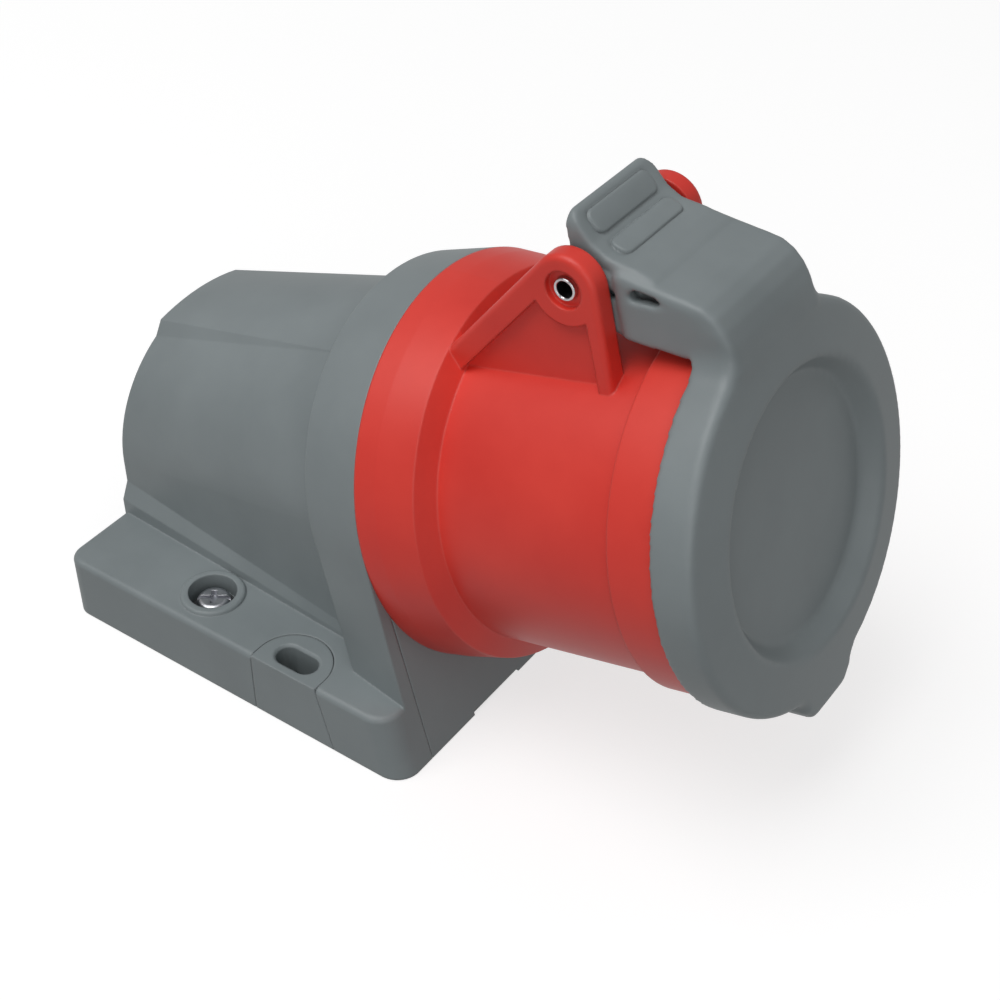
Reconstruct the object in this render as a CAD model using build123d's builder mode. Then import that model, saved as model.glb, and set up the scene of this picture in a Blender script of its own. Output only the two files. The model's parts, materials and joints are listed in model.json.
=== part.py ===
"""Surface-mounted 5-pole industrial wall socket with an inclined barrel and a sprung lid.

Millimetres. Z = 0 is the wall plane and +Z points away from the wall. The origin is midway between
the two fixing slots, +X points towards the socket's mouth, and the part is symmetric about Y = 0.
Along the socket axis, u is the distance in front of the cover's front face and w the height above
the axis, so face_plane has Y and w in its plane, and side_plane has u and w.
"""

import os
from math import cos, radians, sin, tan

from build123d import *

# Overall driving dimensions
tilt = 15.0
base_width = 94.0
front_x = 29.0
rear_x = -59.0
flange_height = 14.4
axis_rise = 47.5

# Walls, fits and clearances
wall = 2.4
skirt_wall = 3.2
seam_gap = 0.15
slip_gap = 0.2
screw_gap = 0.1
contact_gap = 0.15
hinge_gap = 0.4
mouth_gap = 0.5
pin_running_gap = 0.06
pin_fixed_gap = 0.02

# Cover: flange, collar ring with its legs, tapered housing and raised top
rear_corner_r = 4.0
front_corner_r = 5.0
top_edge_r = 1.2
ring_length = 14.0
ring_back_r = 38.2
ring_front_r = 39.9
leg_back_half = 38.7
leg_front_half = 40.9
ring_bore_r = 36.6
ring_edge_r = 0.8
housing_rear_r = 27.3
housing_rear_centre = 27.0
housing_front_r = 32.7
band_rear = (17.7, 21.5)
band_front = (15.2, 17.5)
band_step_rear = 1.9
band_step_front = 0.3
hump_half = 13.4
hump_rise = 1.0
hump_shoulder = 2.1
hump_spread = 1.18

# Base: floor, bulkhead that fills the front face, fixing blocks
lip = 1.2
rim_floor = 2.4
floor_thickness = 3.9
bulkhead_r = 37.4
bulkhead_thickness = 4.0
gusset_y = 33.5
gusset_thickness = 2.0
gusset_length = 12.0
gusset_rise = 22.0
block_inset = 3.1
block_r = 8.0
slot_inset = 4.6
slot_length = 9.5
slot_width = 5.0
slot_edge = 0.5
relief_height = 0.7
relief_inner = 8.3
relief_outer = 23.5
post_r = 4.6

# Cover screws
cover_screw_x = -26.0
cover_screw_inset = 9.1
cover_screw_r = 2.0
cover_screw_length = 8.8
cover_head_r = 3.5
cover_head_height = 2.4
head_recess_r = 5.0
head_recess_depth = 4.0
recess_floor = 2.4
screw_collar_r = 6.7
screw_collar_height = 0.8
washer_thickness = 0.8
washer_r = 4.4

# Red sleeve: spigot, flange, barrel, mouth collar, web and keyway
spigot_r = 31.4
spigot_bore = 29.6
flange_back_r = 39.9
flange_mid_r = 39.4
flange_mid_u = 4.5
flange_front_r = 38.05
flange_front_u = 12.2
barrel_u = 14.3
barrel_r = 33.9
collar_u = 51.5
collar_r = 35.6
mouth_u = 62.0
barrel_bore = 30.5
web_bore = 24.9
web_back_u = 14.0
web_front_u = 20.0
keyway_half = 3.6
keyway_depth = 2.7
keyway_wall = 2.1
keyway_back_u = 30.0
gasket_inward = 1.1
gasket_outward = 1.6
gasket_thickness = 1.4
sleeve_screw_circle_r = 34.0
sleeve_screw_r = 1.5
sleeve_screw_length = 12.0
sleeve_head_r = 2.4
sleeve_head_height = 2.0

# Hinge ears, pin and spring
pin_u = 40.4
pin_w = 48.05
pin_r = 2.1
pin_bore_r = 1.55
pin_half_length = 17.1
ear_inner = 13.4
ear_outer = 17.4
ear_boss_r = 6.3
ear_recess_r = 3.55
ear_recess_depth = 1.3
ear_edge = 1.1
rib_rise = 37.9
rear_rib = 4.3
front_rib = 2.9
front_rib_lean = 2.0
web_recess = 1.6
spring_wire_r = 0.6
spring_coil_r = 3.5
spring_turns = 5
spring_pitch = 1.5
spring_lead = 120.0
spring_foot_w = 34.6
lid_leg_length = 8.4

# Lid: disc, dish, seal, hood with thumb tab, knuckles and bottom lug
lid_back_u = 60.7
lid_front_u = 69.9
lid_r = 37.1
lid_edge_r = 1.5
lid_rim_u = 68.6
lid_cone_r = 28.0
seal_seat_u = 64.2
dish_r = 27.0
dish_floor_r = 24.2
dish_depth = 3.6
dish_edge_r = 1.0
seal_inner_r = 29.8
seal_squeeze_gap = 0.2
rib_inner_r = 27.6
rib_height = 1.6
hood_half = 13.9
hood_wall = 2.2
hood_blend_r = 6.0
hood_root = 4.0
tab_half = 12.1
tab_corner_r = 3.4
knuckle_r = 5.1
knuckle_inner = 7.6
lug_half = 8.8
lug_tip_half = 6.0
lug_tip_w = -42.2
lug_shoulder_w = -38.9
lug_tip_r = 2.4
lug_blend_r = 4.0
grip_half = 8.9
grip_depth = 0.9
tab_top_w = 59.7
tab_back = [(39.2, 54.0), (39.2, 58.0), (39.7, 59.7), (40.9, 59.0)]
tab_front = [(43.9, 53.9), (46.3, 51.9), (48.6, 51.1), (51.6, 50.1), (55.0, 48.4)]
tab_foot = (55.0, 47.1)
upper_grip = [(41.5, 57.8), (43.6, 54.4)]
lower_grip = [(45.0, 52.9), (48.3, 51.2)]
hood_crest = [(49.4, 50.0), (54.0, 48.4), (62.5, 45.6), (64.5, 43.6), (66.3, 41.0), (68.4, 36.4)]
hood_foot = [(60.1, 35.7), (52.0, 37.2)]
slope_foot = (69.3, 33.5)
slope_wall = 3.4
hood_sill = 0.8
hood_bend_r = 6.0
hood_edge_r = 1.5
cavity_outline = [
    (59.6, 30.0),
    (59.6, 39.2),
    (64.2, 39.2),
    (62.6, 42.0),
    (61.4, 43.5),
    (50.6, 47.0),
    (47.1, 47.8),
]
chamber_outline = [(43.8, 51.55), (50.6, 47.4), (50.6, 41.3), (40.4, 41.3)]
rest_outline = [(48.6, 43.7), (48.6, 46.6), (50.5, 45.5), (50.5, 43.7)]
window_outline = [(50.2, 45.3), (50.7, 47.0), (52.0, 47.4), (57.7, 45.4), (57.5, 44.8), (54.7, 44.7)]

# Contacts, carrier and terminal block
pole_names = ["pe", "l1", "l2", "l3", "n"]
contact_pitch_r = 16.5
pin_hole_r = 2.55
earth_hole_r = 3.55
contact_wall = 1.35
contact_front_u = 46.4
contact_bore_depth = 24.0
contact_slot = 0.8
contact_slot_depth = 16.0
contact_mouth = 0.4
ring_groove = 0.5
ring_groove_u = 38.0
ring_groove_width = 3.0
ring_split = 1.2
terminal_size = 9.0
terminal_back_u = -10.0
wire_hole_r = 2.2
wire_hole_depth = 12.0
terminal_screw_u = -7.0
terminal_screw_r = 2.0
terminal_screw_length = 6.0
carrier_plate_u = 8.0
tower_r = 24.5
tower_front_u = 48.0
entry_gap = 0.35
block_back_u = -12.0
carrier_screw_circle_r = 26.9
carrier_screw_r = 1.2
carrier_head_r = 2.2
carrier_head_height = 1.6
carrier_screw_length = 30.0

# Cable grommet in the rear wall
grommet_z = 27.0
grommet_hole_r = 10.0
grommet_lip_r = 12.4
grommet_lip = 1.6
grommet_reach = 4.5
grommet_tip_r = 6.2
grommet_skin = 1.2

# Frames that everything is placed from
half_width = base_width / 2
block_y = half_width - block_inset
slot_y = half_width - slot_inset
cover_screw_y = half_width - cover_screw_inset
gasket_inner_r = bulkhead_r - gasket_inward
gasket_outer_r = bulkhead_r + gasket_outward
lean = radians(tilt)
forward = Vector(cos(lean), 0, sin(lean))
upward = Vector(-sin(lean), 0, cos(lean))
face_origin = Vector(front_x - axis_rise * sin(lean), 0, axis_rise * cos(lean))
face_plane = Plane(origin=face_origin, x_dir=(0, 1, 0), z_dir=forward)
side_plane = Plane(origin=face_origin, x_dir=forward, z_dir=(0, -1, 0))
rear_plane = Plane(origin=(rear_x, 0, 0), x_dir=(0, 1, 0), z_dir=(1, 0, 0))
socket_axis = Axis(face_origin, forward)
pin_origin = face_origin + forward * pin_u + upward * pin_w
pin_plane = Plane(origin=pin_origin, x_dir=forward, z_dir=(0, -1, 0))
cover_screw_spots = [(cover_screw_x, cover_screw_y), (cover_screw_x, -cover_screw_y)]
recess_z = flange_height - head_recess_depth
post_z = recess_z - recess_floor


def height_on(u, z):
    """w of the wall height z on the plane that stands u in front of the cover's front face."""
    return (z - face_origin.Z - u * sin(lean)) / cos(lean)


def save(builder, label):
    """Label a finished sub-part and write its STEP file."""
    builder.part.label = label
    export_step(builder.part, f"parts/{label}.step")


def turned(profile):
    """Solid of revolution about the socket axis, from a closed outline of (u, radius) points."""
    with BuildPart() as turned_part:
        with BuildSketch(side_plane):
            with BuildLine():
                Polyline(*profile, close=True)
            make_face()
        revolve(axis=socket_axis)
    return turned_part.part


def side_slab(outline, half):
    """Slab of the outline of (u, w) points, reaching half to each side of the symmetry plane."""
    with BuildPart() as slab:
        with BuildSketch(side_plane):
            with BuildLine():
                Polyline(*outline, close=True)
            make_face()
        extrude(amount=half, both=True)
    return slab.part


def arch_wire(u, radius, foot_half, foot_z):
    """Arch round the socket axis with legs that run down to the height foot_z."""
    foot = height_on(u, foot_z)
    Polyline((-radius, 0), (-foot_half, foot), (foot_half, foot), (radius, 0))
    ThreePointArc((-radius, 0), (0, radius), (radius, 0))


def arch_slab(back_u, front_u, radius, foot_z):
    """Arch-shaped slab of one radius between two planes square to the axis."""
    with BuildPart() as slab:
        with BuildSketch(face_plane.offset(back_u)):
            with BuildLine():
                arch_wire(back_u, radius, radius, foot_z - (front_u - back_u) * tan(lean))
            make_face()
        extrude(amount=front_u - back_u)
    return slab.part


def housing_wire(radius, centre, low, high, step, foot):
    """Housing section: a round top, straight sides and a stepped band at its foot."""
    half = radius + step
    Polyline(
        (-radius, centre),
        (-radius, high),
        (-half, low),
        (-half, foot),
        (half, foot),
        (half, low),
        (radius, high),
        (radius, centre),
    )
    ThreePointArc((-radius, centre), (0, centre + radius), (radius, centre))


def housing_loft(inset):
    """Tapered housing from the rear wall to the collar ring, or its hollow for an inset above zero."""
    foot_z = flange_height - skirt_wall - inset
    drop = inset / 2
    rear_low, rear_high = band_rear
    front_low, front_high = band_front
    with BuildPart() as housing:
        with BuildSketch(rear_plane.offset(inset)):
            with BuildLine():
                housing_wire(
                    housing_rear_r - inset,
                    housing_rear_centre,
                    rear_low - drop,
                    rear_high - drop,
                    band_step_rear,
                    foot_z,
                )
            make_face()
        with BuildSketch(face_plane.offset(-ring_length)):
            with BuildLine():
                housing_wire(
                    housing_front_r - inset,
                    0,
                    height_on(-ring_length, front_low - drop),
                    height_on(-ring_length, front_high - drop),
                    band_step_front,
                    height_on(-ring_length, foot_z),
                )
            make_face()
        loft(ruled=True)
    return housing.part


def hump_wire(half, centre, radius, rise, shoulder):
    """Section of the raised top, which stands on a round of the given centre and radius."""
    edge = centre + (radius**2 - half**2) ** 0.5
    inner = half - shoulder * 0.9
    crest = centre + (radius**2 - inner**2) ** 0.5 + shoulder
    root = centre + radius / 2
    Polyline((-inner, crest), (-half, edge), (-half, root), (half, root), (half, edge), (inner, crest))
    ThreePointArc((-inner, crest), (0, centre + radius + rise), (inner, crest))


def housing_hump():
    """Raised top of the housing, which fades out towards the collar ring."""
    with BuildPart() as hump:
        with BuildSketch(rear_plane):
            with BuildLine():
                hump_wire(hump_half, housing_rear_centre, housing_rear_r, hump_rise, hump_shoulder)
            make_face()
        with BuildSketch(face_plane.offset(-ring_length)):
            with BuildLine():
                hump_wire(hump_half * hump_spread, 0, housing_front_r, -0.02, 0.05)
            make_face()
        loft(ruled=True)
    return hump.part


def flange_body(inset, height):
    """Body of the flange, cut off along the tilted front face, inset all round."""
    rear = rear_x + inset
    front = front_x - inset / cos(lean)
    with BuildPart() as body:
        with BuildSketch(Plane.XZ):
            with BuildLine():
                Polyline(
                    (rear, 0),
                    (front, 0),
                    (front - height * tan(lean), height),
                    (rear, height),
                    close=True,
                )
            make_face()
        extrude(amount=half_width - inset, both=True)
        corners = body.edges().filter_by(GeomType.LINE).filter_by_position(Axis.Z, height / 4, height * 3 / 4)
        fillet(corners.group_by(Axis.X)[0], radius=max(rear_corner_r - inset, 0.5))
        fillet(corners.group_by(Axis.X)[-1], radius=max(front_corner_r - inset, 0.5))
    return body.part


def block_wire(half, run, outer):
    """Plan of a fixing block on the -Y side: half circles whose centres are run apart, and flanks."""
    diagonal = half * sin(radians(45))
    Line((-half, -outer), (-half, -block_y))
    ThreePointArc((-half, -block_y), (-diagonal, diagonal - block_y), (0, half - block_y))
    Line((0, half - block_y), (run, half - block_y))
    ThreePointArc((run, half - block_y), (run + diagonal, diagonal - block_y), (run + half, -block_y))
    Line((run + half, -block_y), (run + half, -outer))
    Line((run + half, -outer), (-half, -outer))


def fixing_block(gap):
    """Both fixing blocks, grown by the gap. Their front flanks follow the tilt, rear flanks are upright."""
    short_run = 0.02
    with BuildPart() as block:
        with BuildSketch(Plane.XY.offset(-gap)):
            with BuildLine():
                block_wire(block_r + gap, short_run + (flange_height + gap) * tan(lean), half_width + gap)
            make_face()
        with BuildSketch(Plane.XY.offset(flange_height)):
            with BuildLine():
                block_wire(block_r + gap, short_run, half_width + gap)
            make_face()
        loft(ruled=True)
        mirror(about=Plane.XZ)
    return block.part


def skirt_zone(outer, inner, low, high):
    """Strip of the skirt's plan from one inset to another, round the blocks too, between two heights."""
    hull = flange_body(outer, high)
    core = flange_body(inner, high)
    near = fixing_block(seam_gap + max(outer - lip, 0))
    far = fixing_block(seam_gap + inner)
    with BuildPart() as zone:
        add(core)
        add(far, mode=Mode.SUBTRACT)
    core_only = zone.part
    with BuildPart() as strip:
        add(hull)
        add(near, mode=Mode.SUBTRACT)
        add(core_only, mode=Mode.SUBTRACT)
        with Locations((0, 0, low / 2)):
            Box(3 * base_width, 3 * base_width, low, mode=Mode.SUBTRACT)
    return strip.part


os.makedirs("parts", exist_ok=True)

# Cover
flange_hollow_height = flange_height - wall
ring_hollow = arch_slab(-ring_length + wall, 0, ring_bore_r, 0)
throat = arch_slab(-ring_length, -ring_length + wall, housing_front_r - wall, 0)
front_window = arch_slab(-bulkhead_thickness - slip_gap, wall, bulkhead_r + seam_gap, -wall)
housing_solid = housing_loft(0)
housing_hollow = housing_loft(wall)
hump_solid = housing_hump()
flange_solid = flange_body(0, flange_height)
flange_hollow = flange_body(skirt_wall, flange_hollow_height)
lip_hollow = flange_body(lip, floor_thickness)
block_notch = fixing_block(seam_gap)
block_jacket = fixing_block(seam_gap + wall)

with BuildPart() as hollow_plan:
    add(flange_hollow)
    add(block_jacket, mode=Mode.SUBTRACT)
    with Locations(*[(x, y, post_z) for x, y in cover_screw_spots]):
        Cylinder(
            head_recess_r + wall,
            flange_height,
            align=(Align.CENTER, Align.CENTER, Align.MIN),
            mode=Mode.SUBTRACT,
        )

with BuildPart() as ring_solid:
    with BuildSketch(face_plane.offset(-ring_length)):
        with BuildLine():
            arch_wire(-ring_length, ring_back_r, leg_back_half, flange_height - skirt_wall)
        make_face()
    with BuildSketch(face_plane):
        with BuildLine():
            arch_wire(0, ring_front_r, leg_front_half, flange_height - skirt_wall)
        make_face()
    loft(ruled=True)
    ring_rim = ring_solid.faces().sort_by(socket_axis)[0].edges().sort_by(Axis.Z)[1:]
    fillet(ring_rim, radius=ring_edge_r)

with BuildPart() as housing_cover:
    add(flange_solid)
    fillet(housing_cover.faces().sort_by(Axis.Z)[-1].edges(), radius=top_edge_r)
    add(ring_solid.part)
    add(housing_solid)
    add(hump_solid)
    with BuildSketch(Plane.XY.offset(flange_height - top_edge_r)):
        with Locations(*cover_screw_spots):
            Circle(screw_collar_r)
    extrude(amount=top_edge_r + screw_collar_height)
    collar_tops = housing_cover.faces().filter_by(Plane.XY)
    collar_tops = collar_tops.filter_by_position(
        Axis.Z, flange_height + screw_collar_height / 2, flange_height + 2 * screw_collar_height
    )
    fillet(collar_tops.edges(), radius=screw_collar_height * 0.9)
    add(hollow_plan.part, mode=Mode.SUBTRACT)
    add(ring_hollow, mode=Mode.SUBTRACT)
    add(housing_hollow, mode=Mode.SUBTRACT)
    add(throat, mode=Mode.SUBTRACT)
    add(front_window, mode=Mode.SUBTRACT)
    add(block_notch, mode=Mode.SUBTRACT)
    add(lip_hollow, mode=Mode.SUBTRACT)
    with Locations(*[(x, y, recess_z) for x, y in cover_screw_spots]):
        Cylinder(
            head_recess_r,
            2 * flange_height,
            align=(Align.CENTER, Align.CENTER, Align.MIN),
            mode=Mode.SUBTRACT,
        )
        Cylinder(cover_screw_r + slip_gap, 2 * flange_height, mode=Mode.SUBTRACT)
    with BuildSketch(rear_plane.offset(-wall)):
        with Locations((0, grommet_z)):
            Circle(grommet_hole_r)
    extrude(amount=3 * wall, mode=Mode.SUBTRACT)
save(housing_cover, "housing_cover")

# Housing seal, in the rim between base floor and cover
seal_strip = skirt_zone(lip + slip_gap, skirt_wall - slip_gap, rim_floor, floor_thickness)
with BuildPart() as housing_seal:
    add(seal_strip)
    add(front_window, mode=Mode.SUBTRACT)
save(housing_seal, "housing_seal")

# Base plate
rim_plate = flange_body(lip + slip_gap, rim_floor)
raised_plate = flange_body(skirt_wall + slip_gap, floor_thickness)
raised_jacket = fixing_block(seam_gap + skirt_wall + slip_gap)
bulkhead = arch_slab(-bulkhead_thickness, 0, bulkhead_r, -wall)
blocks = fixing_block(0)

with BuildPart() as raised_floor:
    add(raised_plate)
    add(raised_jacket, mode=Mode.SUBTRACT)

with BuildPart() as gussets:
    back = -bulkhead_thickness
    foot = height_on(back, rim_floor)
    heel = height_on(back - gusset_length, rim_floor)
    for side in (-1, 1):
        with BuildSketch(side_plane.offset(side * gusset_y)):
            with BuildLine():
                Polyline((back, foot + gusset_rise), (back, foot), (back - gusset_length, heel), close=True)
            make_face()
    extrude(amount=gusset_thickness / 2, both=True)

with BuildPart() as base_plate:
    add(rim_plate)
    add(raised_floor.part)
    add(bulkhead)
    add(blocks)
    add(gussets.part)
    with Locations(*cover_screw_spots):
        Cylinder(post_r, post_z, align=(Align.CENTER, Align.CENTER, Align.MIN))
    Box(
        2 * base_width,
        2 * base_width,
        flange_height,
        align=(Align.CENTER, Align.CENTER, Align.MAX),
        mode=Mode.SUBTRACT,
    )
    with BuildSketch(face_plane.offset(wall)):
        Circle(spigot_r + slip_gap)
    extrude(amount=-bulkhead_thickness - 2 * wall, mode=Mode.SUBTRACT)
    with BuildSketch(face_plane.offset(wall)):
        with PolarLocations(sleeve_screw_circle_r, 4, start_angle=45):
            Circle(sleeve_screw_r + screw_gap)
    extrude(amount=-bulkhead_thickness - 2 * wall, mode=Mode.SUBTRACT)
    with BuildSketch(Plane.XY):
        with Locations((0, slot_y), (0, -slot_y)):
            SlotOverall(slot_length, slot_width)
    extrude(amount=flange_height + wall, mode=Mode.SUBTRACT)
    slot_rims = base_plate.edges().filter_by_position(Axis.Z, flange_height - 0.01, flange_height + 0.01)
    slot_rims = slot_rims.filter_by_position(Axis.X, -slot_length / 2, slot_length / 2)
    slot_rims = slot_rims.filter_by(lambda e: abs(abs(e.center().Y) - slot_y) < slot_width / 2 + 0.01)
    chamfer(slot_rims, length=slot_edge)
    relief_width = relief_outer - relief_inner
    for side in (-1, 1):
        with Locations((front_x, side * (relief_inner + relief_width / 2), 0)):
            Box(3 * bulkhead_thickness, relief_width, 2 * relief_height, mode=Mode.SUBTRACT)
    with Locations(*[(x, y, rim_floor / 2) for x, y in cover_screw_spots]):
        Cylinder(
            cover_screw_r + screw_gap,
            flange_height,
            align=(Align.CENTER, Align.CENTER, Align.MIN),
            mode=Mode.SUBTRACT,
        )
save(base_plate, "base_plate")

# Cover screws and their sealing washers
head_z = recess_z + washer_thickness
with BuildPart() as cover_screws:
    with Locations(*[(x, y, head_z) for x, y in cover_screw_spots]):
        Cylinder(cover_head_r, cover_head_height, align=(Align.CENTER, Align.CENTER, Align.MIN))
    crowns = cover_screws.faces().filter_by(Plane.XY).group_by(Axis.Z)[-1]
    fillet(crowns.edges(), radius=cover_head_height * 0.45)
    with Locations(*[(x, y, head_z) for x, y in cover_screw_spots]):
        Cylinder(cover_screw_r, cover_screw_length, align=(Align.CENTER, Align.CENTER, Align.MAX))
    with Locations(*[(x, y, head_z + cover_head_height) for x, y in cover_screw_spots]):
        Box(2 * cover_head_r, 0.9, 2.2, rotation=(0, 0, 35), mode=Mode.SUBTRACT)
        Box(cover_head_r * 1.1, 1.1, 3.0, rotation=(0, 0, 125), mode=Mode.SUBTRACT)
save(cover_screws, "cover_screws")

with BuildPart() as cover_screw_washers:
    with BuildSketch(Plane.XY.offset(recess_z)):
        with Locations(*cover_screw_spots):
            Circle(washer_r)
            Circle(cover_screw_r + screw_gap, mode=Mode.SUBTRACT)
    extrude(amount=washer_thickness)
save(cover_screw_washers, "cover_screw_washers")


def ear_slab(outline, start, thickness):
    """Slab of a hinge ear's outline on both ears, from |Y| = start outwards."""
    with BuildPart() as slab:
        with BuildSketch(side_plane.offset(start)):
            with BuildLine():
                Polyline(*outline, close=True)
            make_face()
        extrude(amount=thickness)
        mirror(about=Plane.XZ)
    return slab.part


# Socket sleeve
rise = radians(rib_rise)
crest = (pin_u - ear_boss_r * sin(rise), pin_w + ear_boss_r * cos(rise))
ear_root_w = barrel_bore * 0.85
ear_back_u = crest[0] - (crest[1] - ear_root_w) * cos(rise) / sin(rise)
front_lean = radians(front_rib_lean)
ear_front = (pin_u + ear_boss_r * cos(front_lean), pin_w - ear_boss_r * sin(front_lean))
ear_front_foot = (ear_front[0] - (ear_front[1] - ear_root_w) * sin(front_lean), ear_root_w)
ear_outline = [(ear_back_u, ear_root_w), crest, (pin_u, pin_w), ear_front, ear_front_foot]
drop = rear_rib / cos(rise)
pocket_crest = (crest[0], crest[1] - drop)
pocket_back = (ear_back_u, ear_root_w - drop)
pocket_front_u = ear_front[0] - front_rib
pocket_front_foot = (ear_front_foot[0] - front_rib, pocket_back[1])
pocket_outline = [pocket_back, pocket_crest, (pocket_front_u, pin_w), pocket_front_foot]
ear_walls = ear_slab(ear_outline, ear_inner, ear_outer - ear_inner)
pocket_slab = ear_slab(pocket_outline, ear_outer - web_recess, 2 * web_recess)

with BuildPart() as ear_pocket:
    add(pocket_slab)
    with BuildSketch(pin_plane):
        Circle(ear_boss_r + 0.3)
    extrude(amount=2 * ear_outer, both=True, mode=Mode.SUBTRACT)

with BuildPart() as ears:
    add(ear_walls)
    for side in (-1, 1):
        with BuildSketch(pin_plane.offset(side * (ear_inner + ear_outer) / 2)):
            Circle(ear_boss_r)
    extrude(amount=(ear_outer - ear_inner) / 2, both=True)
    rims = ears.edges().filter_by(lambda e: abs(abs(e.center().Y) - ear_outer) < seam_gap)
    rims = rims.filter_by(lambda e: face_plane.to_local_coords(e.center()).Y > ear_root_w + seam_gap)
    fillet(rims, radius=ear_edge)
    add(ear_pocket.part, mode=Mode.SUBTRACT)

sleeve_outside = turned(
    [
        (-bulkhead_thickness, 0),
        (-bulkhead_thickness, spigot_r),
        (0, spigot_r),
        (0, flange_back_r),
        (flange_mid_u, flange_mid_r),
        (flange_front_u, flange_front_r),
        (barrel_u, barrel_r),
        (collar_u, barrel_r),
        (collar_u, collar_r),
        (mouth_u, collar_r),
        (mouth_u, 0),
    ]
)
sleeve_bore = turned(
    [
        (-bulkhead_thickness - wall, 0),
        (-bulkhead_thickness - wall, spigot_bore),
        (web_back_u, spigot_bore),
        (web_back_u, web_bore),
        (web_front_u, web_bore),
        (web_front_u, barrel_bore),
        (mouth_u + wall, barrel_bore),
        (mouth_u + wall, 0),
    ]
)
gasket_groove = turned(
    [
        (-wall, gasket_inner_r - screw_gap),
        (-wall, gasket_outer_r + screw_gap),
        (gasket_thickness, gasket_outer_r + screw_gap),
        (gasket_thickness, gasket_inner_r - screw_gap),
    ]
)
keyway_foot = barrel_bore + keyway_depth

with BuildPart() as socket_sleeve:
    add(sleeve_outside)
    add(ears.part)
    with BuildSketch(face_plane.offset(keyway_back_u)):
        with Locations((0, -keyway_foot / 2)):
            Rectangle(2 * (keyway_half + keyway_wall), keyway_foot + 2 * keyway_wall)
    extrude(amount=mouth_u - keyway_back_u)
    add(sleeve_bore, mode=Mode.SUBTRACT)
    add(gasket_groove, mode=Mode.SUBTRACT)
    with BuildSketch(face_plane.offset(web_front_u)):
        with Locations((0, -keyway_foot / 2)):
            Rectangle(2 * keyway_half, keyway_foot)
    extrude(amount=mouth_u, mode=Mode.SUBTRACT)
    with BuildSketch(face_plane.offset(-wall)):
        with PolarLocations(sleeve_screw_circle_r, 4, start_angle=45):
            Circle(sleeve_screw_r + screw_gap)
    extrude(amount=sleeve_screw_length - bulkhead_thickness + 2 * wall, mode=Mode.SUBTRACT)
    with BuildSketch(face_plane.offset(web_back_u - wall)):
        with PolarLocations(carrier_screw_circle_r, 2):
            Circle(carrier_screw_r + screw_gap)
    extrude(amount=web_front_u - web_back_u + wall - 1, mode=Mode.SUBTRACT)
    with BuildSketch(pin_plane):
        Circle(pin_r + pin_fixed_gap)
    extrude(amount=2 * ear_outer, both=True, mode=Mode.SUBTRACT)
    for side in (-1, 1):
        with BuildSketch(pin_plane.offset(side * ear_outer)):
            Circle(ear_recess_r)
        extrude(amount=-side * ear_recess_depth, mode=Mode.SUBTRACT)
save(socket_sleeve, "socket_sleeve")

# Gasket behind the red flange, over the seam between bulkhead and cover
gasket_ring = turned(
    [
        (0, gasket_inner_r),
        (0, gasket_outer_r),
        (gasket_thickness, gasket_outer_r),
        (gasket_thickness, gasket_inner_r),
    ]
)
with BuildPart() as sleeve_seal:
    add(gasket_ring)
save(sleeve_seal, "sleeve_seal")

# Screws that hold the sleeve to the bulkhead, from behind
with BuildPart() as sleeve_screws:
    with BuildSketch(face_plane.offset(-bulkhead_thickness - sleeve_head_height)):
        with PolarLocations(sleeve_screw_circle_r, 4, start_angle=45):
            Circle(sleeve_head_r)
            Rectangle(sleeve_head_r * 1.3, 0.7, mode=Mode.SUBTRACT)
    extrude(amount=sleeve_head_height / 2)
    with BuildSketch(face_plane.offset(-bulkhead_thickness - sleeve_head_height / 2)):
        with PolarLocations(sleeve_screw_circle_r, 4, start_angle=45):
            Circle(sleeve_head_r)
    extrude(amount=sleeve_head_height / 2)
    with BuildSketch(face_plane.offset(-bulkhead_thickness)):
        with PolarLocations(sleeve_screw_circle_r, 4, start_angle=45):
            Circle(sleeve_screw_r)
    extrude(amount=sleeve_screw_length)
save(sleeve_screws, "sleeve_screws")


def pole_radius(name):
    """Radius of the pin hole of a pole."""
    return earth_hole_r if name == "pe" else pin_hole_r


pole_angles = {name: -90 + 360 / len(pole_names) * place for place, name in enumerate(pole_names)}
pole_spots = {
    name: (contact_pitch_r * cos(radians(angle)), contact_pitch_r * sin(radians(angle)))
    for name, angle in pole_angles.items()
}

# Contact carrier: plate behind the web and tower with the pin entries
with BuildPart() as contact_carrier:
    with BuildSketch(face_plane.offset(carrier_plate_u)):
        Circle(spigot_bore - slip_gap)
    extrude(amount=web_back_u - carrier_plate_u)
    with BuildSketch(face_plane.offset(web_back_u)):
        Circle(tower_r)
    extrude(amount=tower_front_u - web_back_u)
    for name in pole_names:
        with BuildSketch(face_plane.offset(carrier_plate_u)):
            with Locations(pole_spots[name]):
                Circle(pole_radius(name) + contact_wall + contact_gap)
        extrude(amount=tower_front_u, mode=Mode.SUBTRACT)
    with BuildSketch(face_plane.offset(carrier_plate_u)):
        with PolarLocations(carrier_screw_circle_r, 2):
            Circle(carrier_screw_r + screw_gap)
    extrude(amount=web_back_u - carrier_plate_u, mode=Mode.SUBTRACT)
save(contact_carrier, "contact_carrier")

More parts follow.
